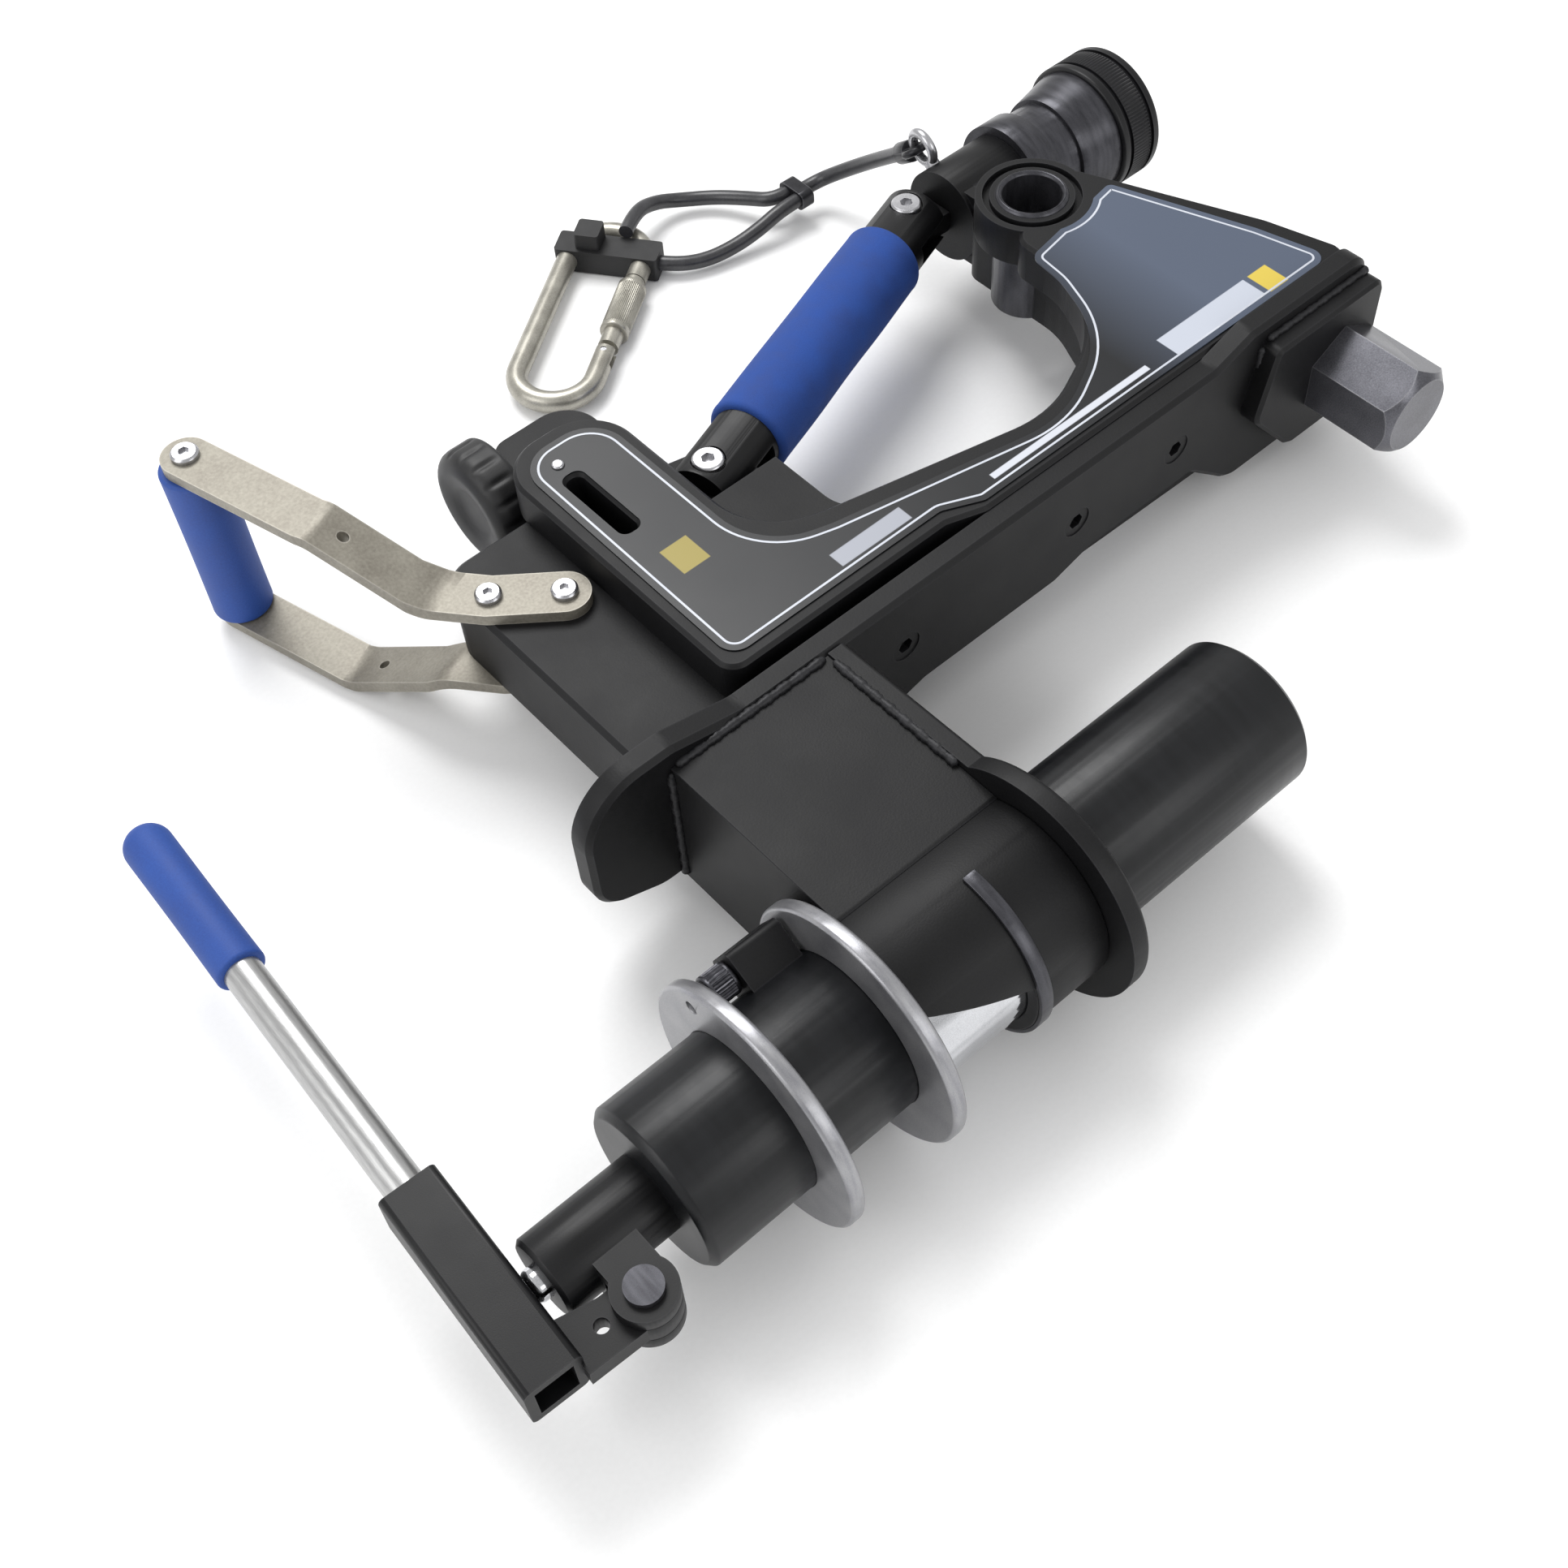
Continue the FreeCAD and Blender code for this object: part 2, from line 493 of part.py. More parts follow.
strut = cyl(along(-END), direction, STRUT_R, length + 2 * END)
strut = strut.cut(cyl(along(34), direction, STRUT_R - 3, length - 60))
strut = strut.cut(strut_slot(-60, 26)).cut(strut_slot(length - 13, length + 60))
bolts = []
for p in (STRUT_A, STRUT_B):
    strut = strut.cut(zcyl(p.x, p.y, -30, 30, strut_bolt_r))
    strut = strut.cut(zcyl(p.x, p.y, 11.5, 30, 7.2)).cut(zcyl(p.x, p.y, -30, -11.5, 7.2))
    bolt = zcyl(p.x, p.y, -11.5, 11.5, strut_bolt_r)
    bolt = bolt.fuse(zcyl(p.x, p.y, 11.5, 15.5, 6.6)).fuse(zcyl(p.x, p.y, -15.5, -11.5, 6.6)).removeSplitter()
    bolt = chamfer(bolt, 0.8, lambda e: flat_at("z", 15.5)(e) or flat_at("z", -15.5)(e))
    bolts.append(bolt.cut(hexagon(V(p.x, p.y, 13.0), V(0, 0, 1), 5.0, 5.0)))
put("strut_tube", strut)
put("strut_bolts", Part.makeCompound(bolts))
lug = zcyl(STRUT_B.x, STRUT_B.y, -LUG_T, LUG_T, 10.0)
lug = lug.fuse(box(STRUT_B.x, HUB_L, STRUT_B.y - 9, STRUT_B.y + 9, -LUG_T, LUG_T)).removeSplitter()
lug = lug.cut(zcyl(STRUT_B.x, STRUT_B.y, -30, 30, strut_bolt_r))
put("strut_lug", lug)
foam = cyl(along(29), direction, STRUT_GRIP_R, 122).cut(cyl(along(28), direction, STRUT_R, 124))
foam = fillet(foam, 1.2, lambda e: abs(e.Length - 2 * math.pi * STRUT_GRIP_R) < 0.5)
put("strut_grip", foam)

# ================= carry handle: two stepped bars, a rod and a round grip
BAR_A = V(-53.0, 96.0, 0)
BAR_PTS = [BAR_A, V(-75, 114, 0), V(-93, 136, 0), V(-110, 174, 0), GRIP_P]
up = (GRIP_P - BAR_PTS[1]).normalize()


def capsule(a, b, r, z0, z1):
    d = (b - a).normalize()
    n = V(-d.y, d.x, 0) * r
    quad = Part.Face(Part.makePolygon([a + n, b + n, b - n, a - n, a + n]))
    quad.translate(V(0, 0, z0))
    s = quad.extrude(V(0, 0, z1 - z0))
    return s.fuse(zcyl(a.x, a.y, z0, z1, r)).fuse(zcyl(b.x, b.y, z0, z1, r))


plan = None
for a, b in zip(BAR_PTS[:-1], BAR_PTS[1:]):
    piece = capsule(a, b, BAR_W / 2, HC - 5, HC + 40)
    plan = piece if plan is None else plan.fuse(piece)
plan = plan.removeSplitter()
S_UP, S_DOWN = 20.0, 66.0
lo, hi = HC, HC + CARRY_SPREAD
rise = [(-120, lo), (S_UP, lo, 14), (S_DOWN, hi, 14), (170, hi), (170, hi + BAR_T), (S_DOWN - 2, hi + BAR_T, 9),
        (S_UP - 2, lo + BAR_T, 19), (-120, lo + BAR_T)]
strip = xz_plate(rise, -90, 90)
strip.Placement = FreeCAD.Placement(BAR_PTS[1], FreeCAD.Rotation(V(1, 0, 0), up)).multiply(strip.Placement)
bar = plan.common(strip).removeSplitter()
mid_hole = BAR_PTS[3] + (BAR_PTS[2] - BAR_PTS[3]) * 0.35
for p, r in ((BAR_PTS[0], 3.0), (BAR_PTS[1], 3.0), (mid_hole, 2.2), (GRIP_P, 3.0)):
    bar = bar.cut(zcyl(p.x, p.y, 0, 100, r))
put("carry_bar_top", bar)
put("carry_bar_bottom", bar.mirror(V(0, 0, 0), V(0, 0, 1)))
core = OUT["core_plate"]
fasten = []
for side in (1, -1):
    for p in BAR_PTS[:2]:
        core = core.cut(zcyl(p.x, p.y, -HC - 1, -HC + 13, 3.0)).cut(zcyl(p.x, p.y, HC - 13, HC + 1, 3.0))
        top = V(p.x, p.y, side * (HC + BAR_T))
        fasten.append(screw(top, V(0, 0, side), 5.2, 2.6, 3.0, 17.0, 1.7))
    top = V(GRIP_P.x, GRIP_P.y, side * (hi + BAR_T))
    fasten.append(screw(top, V(0, 0, side), 5.6, 2.6, 3.0, 21.0, 2.0))
OUT["core_plate"] = core
put("carry_screws", Part.makeCompound(fasten))
rod = zcyl(GRIP_P.x, GRIP_P.y, -hi, hi, 7.0)
for side in (1, -1):
    rod = rod.cut(cyl(V(GRIP_P.x, GRIP_P.y, side * hi), V(0, 0, -side), 3.0, 16.0))
put("carry_rod", rod)
cgrip = zcyl(GRIP_P.x, GRIP_P.y, -hi + SKIN, hi - SKIN, CARRY_R).cut(zcyl(GRIP_P.x, GRIP_P.y, -hi - 1, hi + 1, 7.0 + CLEAR))
cgrip = fillet(cgrip, 1.5, lambda e: abs(e.Length - 2 * math.pi * CARRY_R) < 0.5)
put("carry_grip", cgrip)

# ================= frame of the carabiner: u along it, w towards the gate
CZ = -41.0
GATE_A = -22.0
GATE_B = 26.0
SLEEVE_CR = 6.8
ca = math.radians(CAR_ANG)
U = V(math.cos(ca), math.sin(ca), 0)
W = V(math.sin(ca), -math.cos(ca), 0)
CC = V(CAR_C.x, CAR_C.y, CZ)
HL = CAR_L / 2
HW = CAR_W / 2


def cp(u, w, z=0.0):
    return CC + U * u + W * w + V(0, 0, z)



# ================= lanyard: anchor eye, swaged end, ferrule and three runs of cord
T0 = V(226.0, 211.0, 6.25)
FX, FY, FZ = 207.0, 264.0, -35.0
UP0 = cp(49, 8, 9.0)
UP1 = cp(64, 8, 9.0)
LO0 = cp(42, 24, -0.8)
LO1 = cp(42, 33.5, -0.8)
ROUTE = {
    "lanyard_lead": [(210.5, 264, -35), (220, 264, -35), (226, 251, -25), (229.5, 230, -9), (T0.x, T0.y, T0.z)],
    "lanyard_upper": [(UP0.x, UP0.y, UP0.z), (UP1.x, UP1.y, UP1.z), (156, 309, -37), (169, 305.5, -41), (182, 295.5, -41),
                      (190, 282, -38.5), (195.5, 268.0, -35), (203.5, 268, -35)],
    "lanyard_lower": [(LO0.x, LO0.y, LO0.z), (LO1.x, LO1.y, LO1.z), (150, 265, -42.6), (165, 262, -41.8),
                      (180, 260.5, -39.0), (193, 260, -35), (203.5, 260, -35)],
}


def cord(points, r):
    pts = [V(*p) for p in points]
    edges = []
    start = pts[0]
    radii = []
    total = 0.0
    for i in range(1, len(pts) - 1):
        a = pts[i - 1] - pts[i]
        b = pts[i + 1] - pts[i]
        run = min(a.Length, b.Length)
        turn_ = math.pi - a.getAngle(b)
        cut_ = 0.45 * run
        radius = cut_ / math.tan(turn_ / 2)
        radii.append(round(radius, 1))
        p1 = pts[i] + a.normalize() * cut_
        p2 = pts[i] + b.normalize() * cut_
        bis = (a + b).normalize()
        centre = pts[i] + bis * math.sqrt(radius * radius + cut_ * cut_)
        edges.append(Part.LineSegment(start, p1).toShape())
        edges.append(Part.Arc(p1, centre - bis * radius, p2).toShape())
        total += (p1 - start).Length + radius * turn_
        start = p2
    edges.append(Part.LineSegment(start, pts[-1]).toShape())
    total += (pts[-1] - start).Length
    wire = Part.Wire(edges)
    ring = Part.Wire([Part.Circle(pts[0], (pts[1] - pts[0]).normalize(), r).toShape()])
    body_ = wire.makePipeShell([ring], True, False)
    if body_.Volume < 0:
        body_.reverse()
    print("cord length", round(total, 1), "radii", radii, "volume/ideal",
          round(body_.Volume / (math.pi * r * r * total), 4))
    return body_


for name in ("lanyard_lead", "lanyard_upper", "lanyard_lower"):
    put(name, cord(ROUTE[name], CORD_R))

ferrule = box(FX - 3.5, FX + 3.5, FY - 8.5, FY + 8.5, FZ - 4.6, FZ + 4.6)
ferrule = fillet(ferrule, 3.2, lambda e: e.BoundBox.XLength > 6.9 and e.BoundBox.YLength < 0.1)
put("ferrule", ferrule)
lead = ROUTE["lanyard_lead"]
t = (V(*lead[-1]) - V(*lead[-2])).normalize()
R1, W1, R2, W2 = 7.0, 2.2, 5.0, 1.8
SWAGE = 10.0
C2 = T0 + t * (SWAGE + R2 - 1.0)
EYE = C2 + t * (R1 - W1 - W2 + R2 - SKIN)
radial = V(0, EYE.y - PIN_Y, EYE.z)
radial.normalize()
n1 = t.cross(radial).normalize()
n2 = t.cross(n1).normalize()
swage = cyl(T0, t, 5.0, SWAGE)
link = Part.makeTorus(R2, W2, C2, n2)
put("swage_end", swage.fuse(link).removeSplitter())
eye1 = Part.makeTorus(R1, W1, EYE, n1)
root_ = V(EYE.x, PIN_Y, 0) + radial * 16.0
reach_ = (EYE - root_).dot(radial) - R1 + 0.6
eye1 = eye1.fuse(cyl(root_, radial, 3.4, reach_)).removeSplitter()
OUT["pin_hub"] = OUT["pin_hub"].cut(cyl(root_, radial, 3.4, 30))
put("anchor_eye", eye1)

# ================= screw-gate carabiner
st = HL - HW
path = Part.Wire([
    Part.LineSegment(cp(GATE_A, HW), cp(-st, HW)).toShape(),
    Part.Arc(cp(-st, HW), cp(-HL, 0), cp(-st, -HW)).toShape(),
    Part.LineSegment(cp(-st, -HW), cp(st, -HW)).toShape(),
    Part.Arc(cp(st, -HW), cp(HL, 0), cp(st, HW)).toShape(),
    Part.LineSegment(cp(st, HW), cp(GATE_B, HW)).toShape(),
])
ring = Part.Wire([Part.Circle(cp(GATE_A, HW), U, CAR_BAR).toShape()])
frame = path.makePipeShell([ring], True, False)
if frame.Volume < 0:
    frame.reverse()
GATE_GAP = 0.4
GATE_FOOT = 2.6                        # room for the gate to swing inward
TONGUE = 4.0
HP = GATE_A - 3.0                      # hinge pin position
turn_u = FreeCAD.Rotation(V(1, 0, 0), U)


def cbox(u0, u1, w0, w1, z0, z1):
    b = box(u0, u1, -w1, -w0, z0, z1)
    b.Placement = FreeCAD.Placement(CC, turn_u)
    return b


fork_slot = cbox(HP - 7, GATE_A + 1, HW - 8, HW + 8, -TONGUE / 2 - 0.1, TONGUE / 2 + 0.1)
frame = frame.cut(fork_slot)
frame = frame.cut(cyl(cp(HP, HW, -10), V(0, 0, 1), 1.5, 20))
put("carabiner", frame)
put("gate_pin", cyl(cp(HP, HW, -4.5), V(0, 0, 1), 1.5, 9.0))
gate = cyl(cp(GATE_A + GATE_FOOT, HW), U, CAR_BAR - 0.2, GATE_B - GATE_A - GATE_FOOT - GATE_GAP)
tongue = cbox(HP, GATE_A + 6, HW - 3.2, HW + 3.2, -TONGUE / 2, TONGUE / 2)
tongue = tongue.fuse(cyl(cp(HP, HW, -TONGUE / 2), V(0, 0, 1), 3.2, TONGUE))
gate = gate.fuse(tongue).removeSplitter().cut(cyl(cp(HP, HW, -10), V(0, 0, 1), 1.5 + CLEAR, 20))
put("gate", gate)
gsleeve = cyl(cp(-10, HW), U, SLEEVE_CR, 32).cut(cyl(cp(-11, HW), U, CAR_BAR - 0.2 + CLEAR, 34))
gsleeve = chamfer(gsleeve, 0.8, lambda e: abs(e.Length - 2 * math.pi * SLEEVE_CR) < 0.3)
put("gate_sleeve", gsleeve)

# rubber keeper across the far end, gripping both sides of the ring
keeper = cbox(35, 49, -24, 26, -6.2, 5.8)
keeper = keeper.fuse(cbox(37, 49, -14, -2, 0, 14.0))
keeper = fillet(keeper.removeSplitter(), 1.5, lambda e: e.BoundBox.ZLength > 5)
keeper = keeper.cut(OUT["carabiner"]).cut(OUT["lanyard_lower"]).cut(OUT["lanyard_upper"])
put("keeper", keeper)

os.makedirs("parts", exist_ok=True)
for old in os.listdir("parts"):
    if old.endswith(".step") and old[:-5] not in OUT:
        os.remove(os.path.join("parts", old))
for name, shape in OUT.items():
    if not shape.isValid():
        print("NOT VALID", name)
    print(f"{name:18s} solids {len(shape.Solids)} volume {shape.Volume / 1000:9.2f} cm3 "
          f"z {shape.BoundBox.ZMin:7.2f} {shape.BoundBox.ZMax:7.2f}")
    shape.exportStep(os.path.join("parts", name + ".step"))
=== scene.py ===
import bpy, bmesh, math
from mathutils import Matrix, Vector


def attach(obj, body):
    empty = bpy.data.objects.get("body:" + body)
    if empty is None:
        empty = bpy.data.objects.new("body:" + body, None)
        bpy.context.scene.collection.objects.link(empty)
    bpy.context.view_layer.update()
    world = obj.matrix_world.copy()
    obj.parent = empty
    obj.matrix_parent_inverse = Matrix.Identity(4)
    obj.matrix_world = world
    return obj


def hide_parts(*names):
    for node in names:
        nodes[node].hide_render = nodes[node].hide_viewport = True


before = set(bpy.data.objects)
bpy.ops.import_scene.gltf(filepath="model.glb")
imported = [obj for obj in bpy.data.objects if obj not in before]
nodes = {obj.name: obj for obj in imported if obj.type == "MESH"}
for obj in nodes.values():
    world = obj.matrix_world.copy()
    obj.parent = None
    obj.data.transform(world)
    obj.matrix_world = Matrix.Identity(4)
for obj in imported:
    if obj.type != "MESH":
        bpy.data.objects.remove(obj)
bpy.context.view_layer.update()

# ================= view of the whole tool
# The tool lies on its guide rings and is seen from above its left end.
MM = 0.001
view = bpy.data.cameras.new("studio view")
view.lens = 46.977
view.sensor_width = 36
view.clip_start = 0.02
camera = bpy.data.objects.new("studio view", view)
camera.matrix_world = Matrix((
    (0.7505, 0.5569, -0.3558, -0.30144),
    (-0.6591, 0.5915, -0.4645, -0.3516),
    (-0.0483, 0.5831, 0.8109, 0.592),
    (0, 0, 0, 1)))
bpy.context.scene.collection.objects.link(camera)
bpy.context.scene.camera = camera

# ================= lanyard
# Three runs of wire rope in a smooth dark plastic coat, 7 mm over the coat. The lead hangs from the
# anchor eye and the ferrule joins it to the two strands that end in the rubber keeper.
ROPE_D = 7 * MM
ROPE_ORDER = 3


def linear(code):
    """Display colour as hex to scene-linear values."""
    out = []
    for i in (0, 2, 4):
        c = int(code[i:i + 2], 16) / 255
        out.append(c / 12.92 if c < 0.04045 else ((c + 0.055) / 1.055) ** 2.4)
    return out + [1.0]


def material(name, base, dark, rough, metallic=0.0, grain=1.5, patch=25.0, bump=0.02, stretch=(1, 1, 1),
             coat=0.0, wear=None, shine=0.5):
    """Mottled finish: fine grain of the given size and larger patches, all in real millimetres."""
    mat = bpy.data.materials.new(name)
    mat.use_nodes = True
    tree = mat.node_tree
    shader = tree.nodes["Principled BSDF"]
    shader.inputs["Metallic"].default_value = metallic
    shader.inputs["Specular IOR Level"].default_value = shine
    shader.inputs["Coat Weight"].default_value = coat
    shader.inputs["Coat Roughness"].default_value = 0.2
    where = tree.nodes.new("ShaderNodeTexCoord")
    scale = tree.nodes.new("ShaderNodeMapping")
    scale.inputs["Scale"].default_value = stretch
    tree.links.new(where.outputs["Object"], scale.inputs["Vector"])
    fine = tree.nodes.new("ShaderNodeTexNoise")
    fine.inputs["Scale"].default_value = 1 / (grain * MM)
    fine.inputs["Detail"].default_value = 5
    wide = tree.nodes.new("ShaderNodeTexNoise")
    wide.inputs["Scale"].default_value = 1 / (patch * MM)
    wide.inputs["Detail"].default_value = 4
    for tex in (fine, wide):
        tree.links.new(scale.outputs["Vector"], tex.inputs["Vector"])
    blend = tree.nodes.new("ShaderNodeMix")
    blend.data_type = "RGBA"
    blend.inputs["A"].default_value = linear(dark)
    blend.inputs["B"].default_value = linear(base)
    both = tree.nodes.new("ShaderNodeMath")
    both.operation = "MULTIPLY_ADD"
    both.inputs[1].default_value = 0.45
    tree.links.new(fine.outputs["Fac"], both.inputs[0])
    half = tree.nodes.new("ShaderNodeMath")
    half.operation = "MULTIPLY"
    half.inputs[1].default_value = 0.55
    tree.links.new(wide.outputs["Fac"], half.inputs[0])
    tree.links.new(half.outputs[0], both.inputs[2])
    ramp = tree.nodes.new("ShaderNodeMapRange")
    ramp.inputs["From Min"].default_value = 0.35
    ramp.inputs["From Max"].default_value = 0.65
    tree.links.new(both.outputs[0], ramp.inputs["Value"])
    tree.links.new(ramp.outputs["Result"], blend.inputs["Factor"])
    colour = blend.outputs["Result"]
    if wear:
        edge = tree.nodes.new("ShaderNodeBevel")
        edge.samples = 4
        edge.inputs["Radius"].default_value = 0.9 * MM
        geo = tree.nodes.new("ShaderNodeNewGeometry")
        dot = tree.nodes.new("ShaderNodeVectorMath")
        dot.operation = "DOT_PRODUCT"
        tree.links.new(edge.outputs["Normal"], dot.inputs[0])
        tree.links.new(geo.outputs["Normal"], dot.inputs[1])
        rub = tree.nodes.new("ShaderNodeMapRange")
        rub.inputs["From Min"].default_value = 0.995
        rub.inputs["From Max"].default_value = 0.90
        rub.inputs["To Max"].default_value = 0.65
        tree.links.new(dot.outputs["Value"], rub.inputs["Value"])
        rubbed = tree.nodes.new("ShaderNodeMix")
        rubbed.data_type = "RGBA"
        rubbed.inputs["B"].default_value = linear(wear)
        tree.links.new(rub.outputs["Result"], rubbed.inputs["Factor"])
        tree.links.new(colour, rubbed.inputs["A"])
        colour = rubbed.outputs["Result"]
    tree.links.new(colour, shader.inputs["Base Color"])
    gloss = tree.nodes.new("ShaderNodeMapRange")
    gloss.inputs["To Min"].default_value = rough * 0.8
    gloss.inputs["To Max"].default_value = min(1.0, rough * 1.2)
    tree.links.new(wide.outputs["Fac"], gloss.inputs["Value"])
    tree.links.new(gloss.outputs["Result"], shader.inputs["Roughness"])
    relief = tree.nodes.new("ShaderNodeBump")
    relief.inputs["Distance"].default_value = bump * MM
    tree.links.new(fine.outputs["Fac"], relief.inputs["Height"])
    tree.links.new(relief.outputs["Normal"], shader.inputs["Normal"])
    return mat


def link(obj, mat, body="frame"):
    if not obj.users_collection:
        bpy.context.scene.collection.objects.link(obj)
    obj.data.materials.clear()
    obj.data.materials.append(mat)
    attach(obj, body)
    return obj


rope_coat = material("coated wire rope", "343437", "1f1f22", 0.38, grain=0.9, patch=8, bump=0.05, coat=0.2)
lead_route = [(226, 211, 6.25), (229.5, 230, -9), (226, 251, -25), (220, 264, -35), (210.5, 264, -35)]
upper_route = [(203.5, 268, -35), (195.5, 268, -35), (190, 282, -38.5), (182, 295.5, -41), (169, 305.5, -41),
               (156, 309, -37), (140.902, 305.153, -32), (128.676, 296.464, -32)]
lower_route = [(203.5, 260, -35), (193, 260, -35), (180, 260.5, -39.0), (165, 262, -41.8), (150, 265, -42.6),
               (137.741, 271.623, -41.8), (132.238, 279.367, -41.8)]
ropes = []
for name, route, length in (("lead_rope", lead_route, 0.0767), ("upper_strand", upper_route, 0.0990),
                            ("lower_strand", lower_route, 0.0778)):
    curve = bpy.data.curves.new(name, "CURVE")
    curve.dimensions = "3D"
    curve.bevel_depth = ROPE_D / 2
    curve.bevel_resolution = 8
    curve.resolution_u = 16
    curve.use_fill_caps = True
    line = curve.splines.new("NURBS")
    line.points.add(len(route) - 1)
    for point, place in zip(line.points, route):
        point.co = (place[0] * MM, place[1] * MM, place[2] * MM, 1)
    line.order_u = ROPE_ORDER
    line.use_endpoint_u = True
    rope = link(bpy.data.objects.new(name, curve), rope_coat)
    ropes.append((rope, route, length))
ends = (["ferrule", "swage_end"], ["keeper"], ["carabiner", "gate", "gate_sleeve", "gate_pin"])
for (rope, route, length), node, others in zip(ropes, ("lanyard_lead", "lanyard_upper", "lanyard_lower"), ends):
    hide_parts(node)

# ================= C body
# Core plate and the two pads are drop-forged steel, machined on the rims and blackened. The cover sheet
# is a printed film with a thin light border; the bush in the boss is turned steel.


def dress(names, mat, width=0.6, segments=2):
    """Finish and softened edges for pieces that keep the shape they have."""
    for name in names:
        obj = nodes[name]
        obj.data.materials.clear()
        obj.data.materials.append(mat)
        if width:
            weld = obj.modifiers.new("weld", "WELD")
            weld.merge_threshold = 0.00001
            soft = obj.modifiers.new("edges", "BEVEL")
            soft.width = width * MM
            soft.segments = segments
            soft.limit_method = "ANGLE"
            soft.angle_limit = math.radians(38)
            soft.profile = 0.5
            soft.use_clamp_overlap = True
            soft.harden_normals = True


forged = material("blackened forged steel", "111113", "09090a", 0.5, metallic=0.0, grain=0.8, patch=30,
                  bump=0.05, wear="2c2c2f", shine=0.25)
turned = material("dark turned steel", "4e4e53", "323236", 0.32, metallic=0.7, grain=0.5, patch=14, bump=0.02,
                  stretch=(6, 1, 1))
zinc = material("zinc plated steel", "8f8b80", "746f65", 0.45, metallic=0.4, grain=1.2, patch=16, bump=0.03,
                wear="b5b1a7")
satin = material("satin steel", "c4c4c6", "97979b", 0.28, metallic=0.95, grain=0.4, patch=10, bump=0.015)
dress(["core_plate", "top_pad", "bottom_pad"], forged, 0.9, 3)
dress(["boss_bush"], turned, 0.3)
dress(["gauge_rivet"], satin, 0)

film = material("printed film", "101216", "0a0b0e", 0.36, grain=0.25, patch=60, bump=0.004, shine=0.35)
tree = film.node_tree
shader = tree.nodes["Principled BSDF"]
base_link = shader.inputs["Base Color"].links[0].from_socket
where = tree.nodes.new("ShaderNodeTexCoord")
axes = tree.nodes.new("ShaderNodeSeparateXYZ")
tree.links.new(where.outputs["Object"], axes.inputs[0])


def band(value, low, high, soft=0.4):
    """One inside [low, high] millimetres, with softened limits."""
    rise = tree.nodes.new("ShaderNodeMapRange")
    rise.inputs["From Min"].default_value = (low - soft) * MM
    rise.inputs["From Max"].default_value = low * MM
    tree.links.new(value, rise.inputs["Value"])
    fall = tree.nodes.new("ShaderNodeMapRange")
    fall.inputs["From Min"].default_value = (high + soft) * MM
    fall.inputs["From Max"].default_value = high * MM
    tree.links.new(value, fall.inputs["Value"])
    both = tree.nodes.new("ShaderNodeMath")
    both.operation = "MULTIPLY"
    tree.links.new(rise.outputs[0], both.inputs[0])
    tree.links.new(fall.outputs[0], both.inputs[1])
    return both.outputs[0]


def patch(under, mask_x, mask_y, code):
    mask = tree.nodes.new("ShaderNodeMath")
    mask.operation = "MULTIPLY"
    tree.links.new(mask_x, mask.inputs[0])
    tree.links.new(mask_y, mask.inputs[1])
    mix = tree.nodes.new("ShaderNodeMix")
    mix.data_type = "RGBA"
    mix.inputs["B"].default_value = linear(code)
    tree.links.new(mask.outputs[0], mix.inputs["Factor"])
    tree.links.new(under, mix.inputs["A"])
    return mix.outputs["Result"]


print_x, print_y = axes.outputs["X"], axes.outputs["Y"]
SHEEN_X = (222, 330, 52)
SHEEN_Y = (-20, 200)
# Blocks laid on the film as across and up ranges in millimetres with a colour. The first, pale grey block is a
# painted highlight; the rest are print.
PRINT_AND_HIGHLIGHT_BLOCKS = (
    ((22, 56), (25, 32), "9a9da6"),
    ((243, 253), (15, 27), "c9b24a"),
    ((-22, -10), (62, 76), "8f8136"),
    ((92, 176), (18, 20.5), "c3c6ce"),
    ((190, 240), (16, 27), "b4b9c4"))
colour = patch(base_link, band(print_x, *SHEEN_X), band(print_y, *SHEEN_Y), "4c5566")
for across, up, code in PRINT_AND_HIGHLIGHT_BLOCKS:
    colour = patch(colour, band(print_x, *across), band(print_y, *up), code)
tree.links.new(colour, shader.inputs["Base Color"])
dress(["cover_sheet"], film, 0)

# The pale border line is a thin raised strip that follows the sheet's outer edge. The sheet's top is inset
# twice: the ring between the insets is kept, without the ones round the slot and the rivet.
EDGE_INSET = 2.6
EDGE_WIDTH = 0.9
EDGE_LIFT = 0.05
FACES_UP = 0.9
outline = bmesh.new()
outline.from_mesh(nodes["cover_sheet"].data)
outline.transform(nodes["cover_sheet"].matrix_world)
bmesh.ops.remove_doubles(outline, verts=outline.verts, dist=0.00001)
outline.normal_update()
under = [face for face in outline.faces if face.normal.z < FACES_UP]
bmesh.ops.delete(outline, geom=under, context="FACES")
inner = list(outline.faces)
bmesh.ops.inset_region(outline, faces=inner, thickness=EDGE_INSET * MM, use_boundary=True, use_even_offset=True)
stripe = bmesh.ops.inset_region(outline, faces=inner, thickness=EDGE_WIDTH * MM,
                                use_boundary=True, use_even_offset=True)["faces"]
islands = []
loose = dict.fromkeys(stripe)
while loose:
    island = [next(iter(loose))]
    del loose[island[0]]
    for face in island:
        for edge in face.edges:
            for other in edge.link_faces:
                if other in loose:
                    del loose[other]
                    island.append(other)
    islands.append(island)
keep = set(max(islands, key=lambda faces: sum(face.calc_area() for face in faces)))
bmesh.ops.delete(outline, geom=[face for face in outline.faces if face not in keep], context="FACES")
raised = bmesh.ops.extrude_face_region(outline, geom=list(outline.faces))["geom"]
bmesh.ops.translate(outline, verts=[v for v in raised if isinstance(v, bmesh.types.BMVert)],
                    vec=(0, 0, EDGE_LIFT * MM))
bmesh.ops.recalc_face_normals(outline, faces=outline.faces)
outline_mesh = bpy.data.meshes.new("cover_outline")
outline.to_mesh(outline_mesh)
outline.free()
pale = material("pale print", "c6cad2", "b4b8c2", 0.4, grain=0.4, patch=20, bump=0.004)
link(bpy.data.objects.new("cover_outline", outline_mesh), pale)

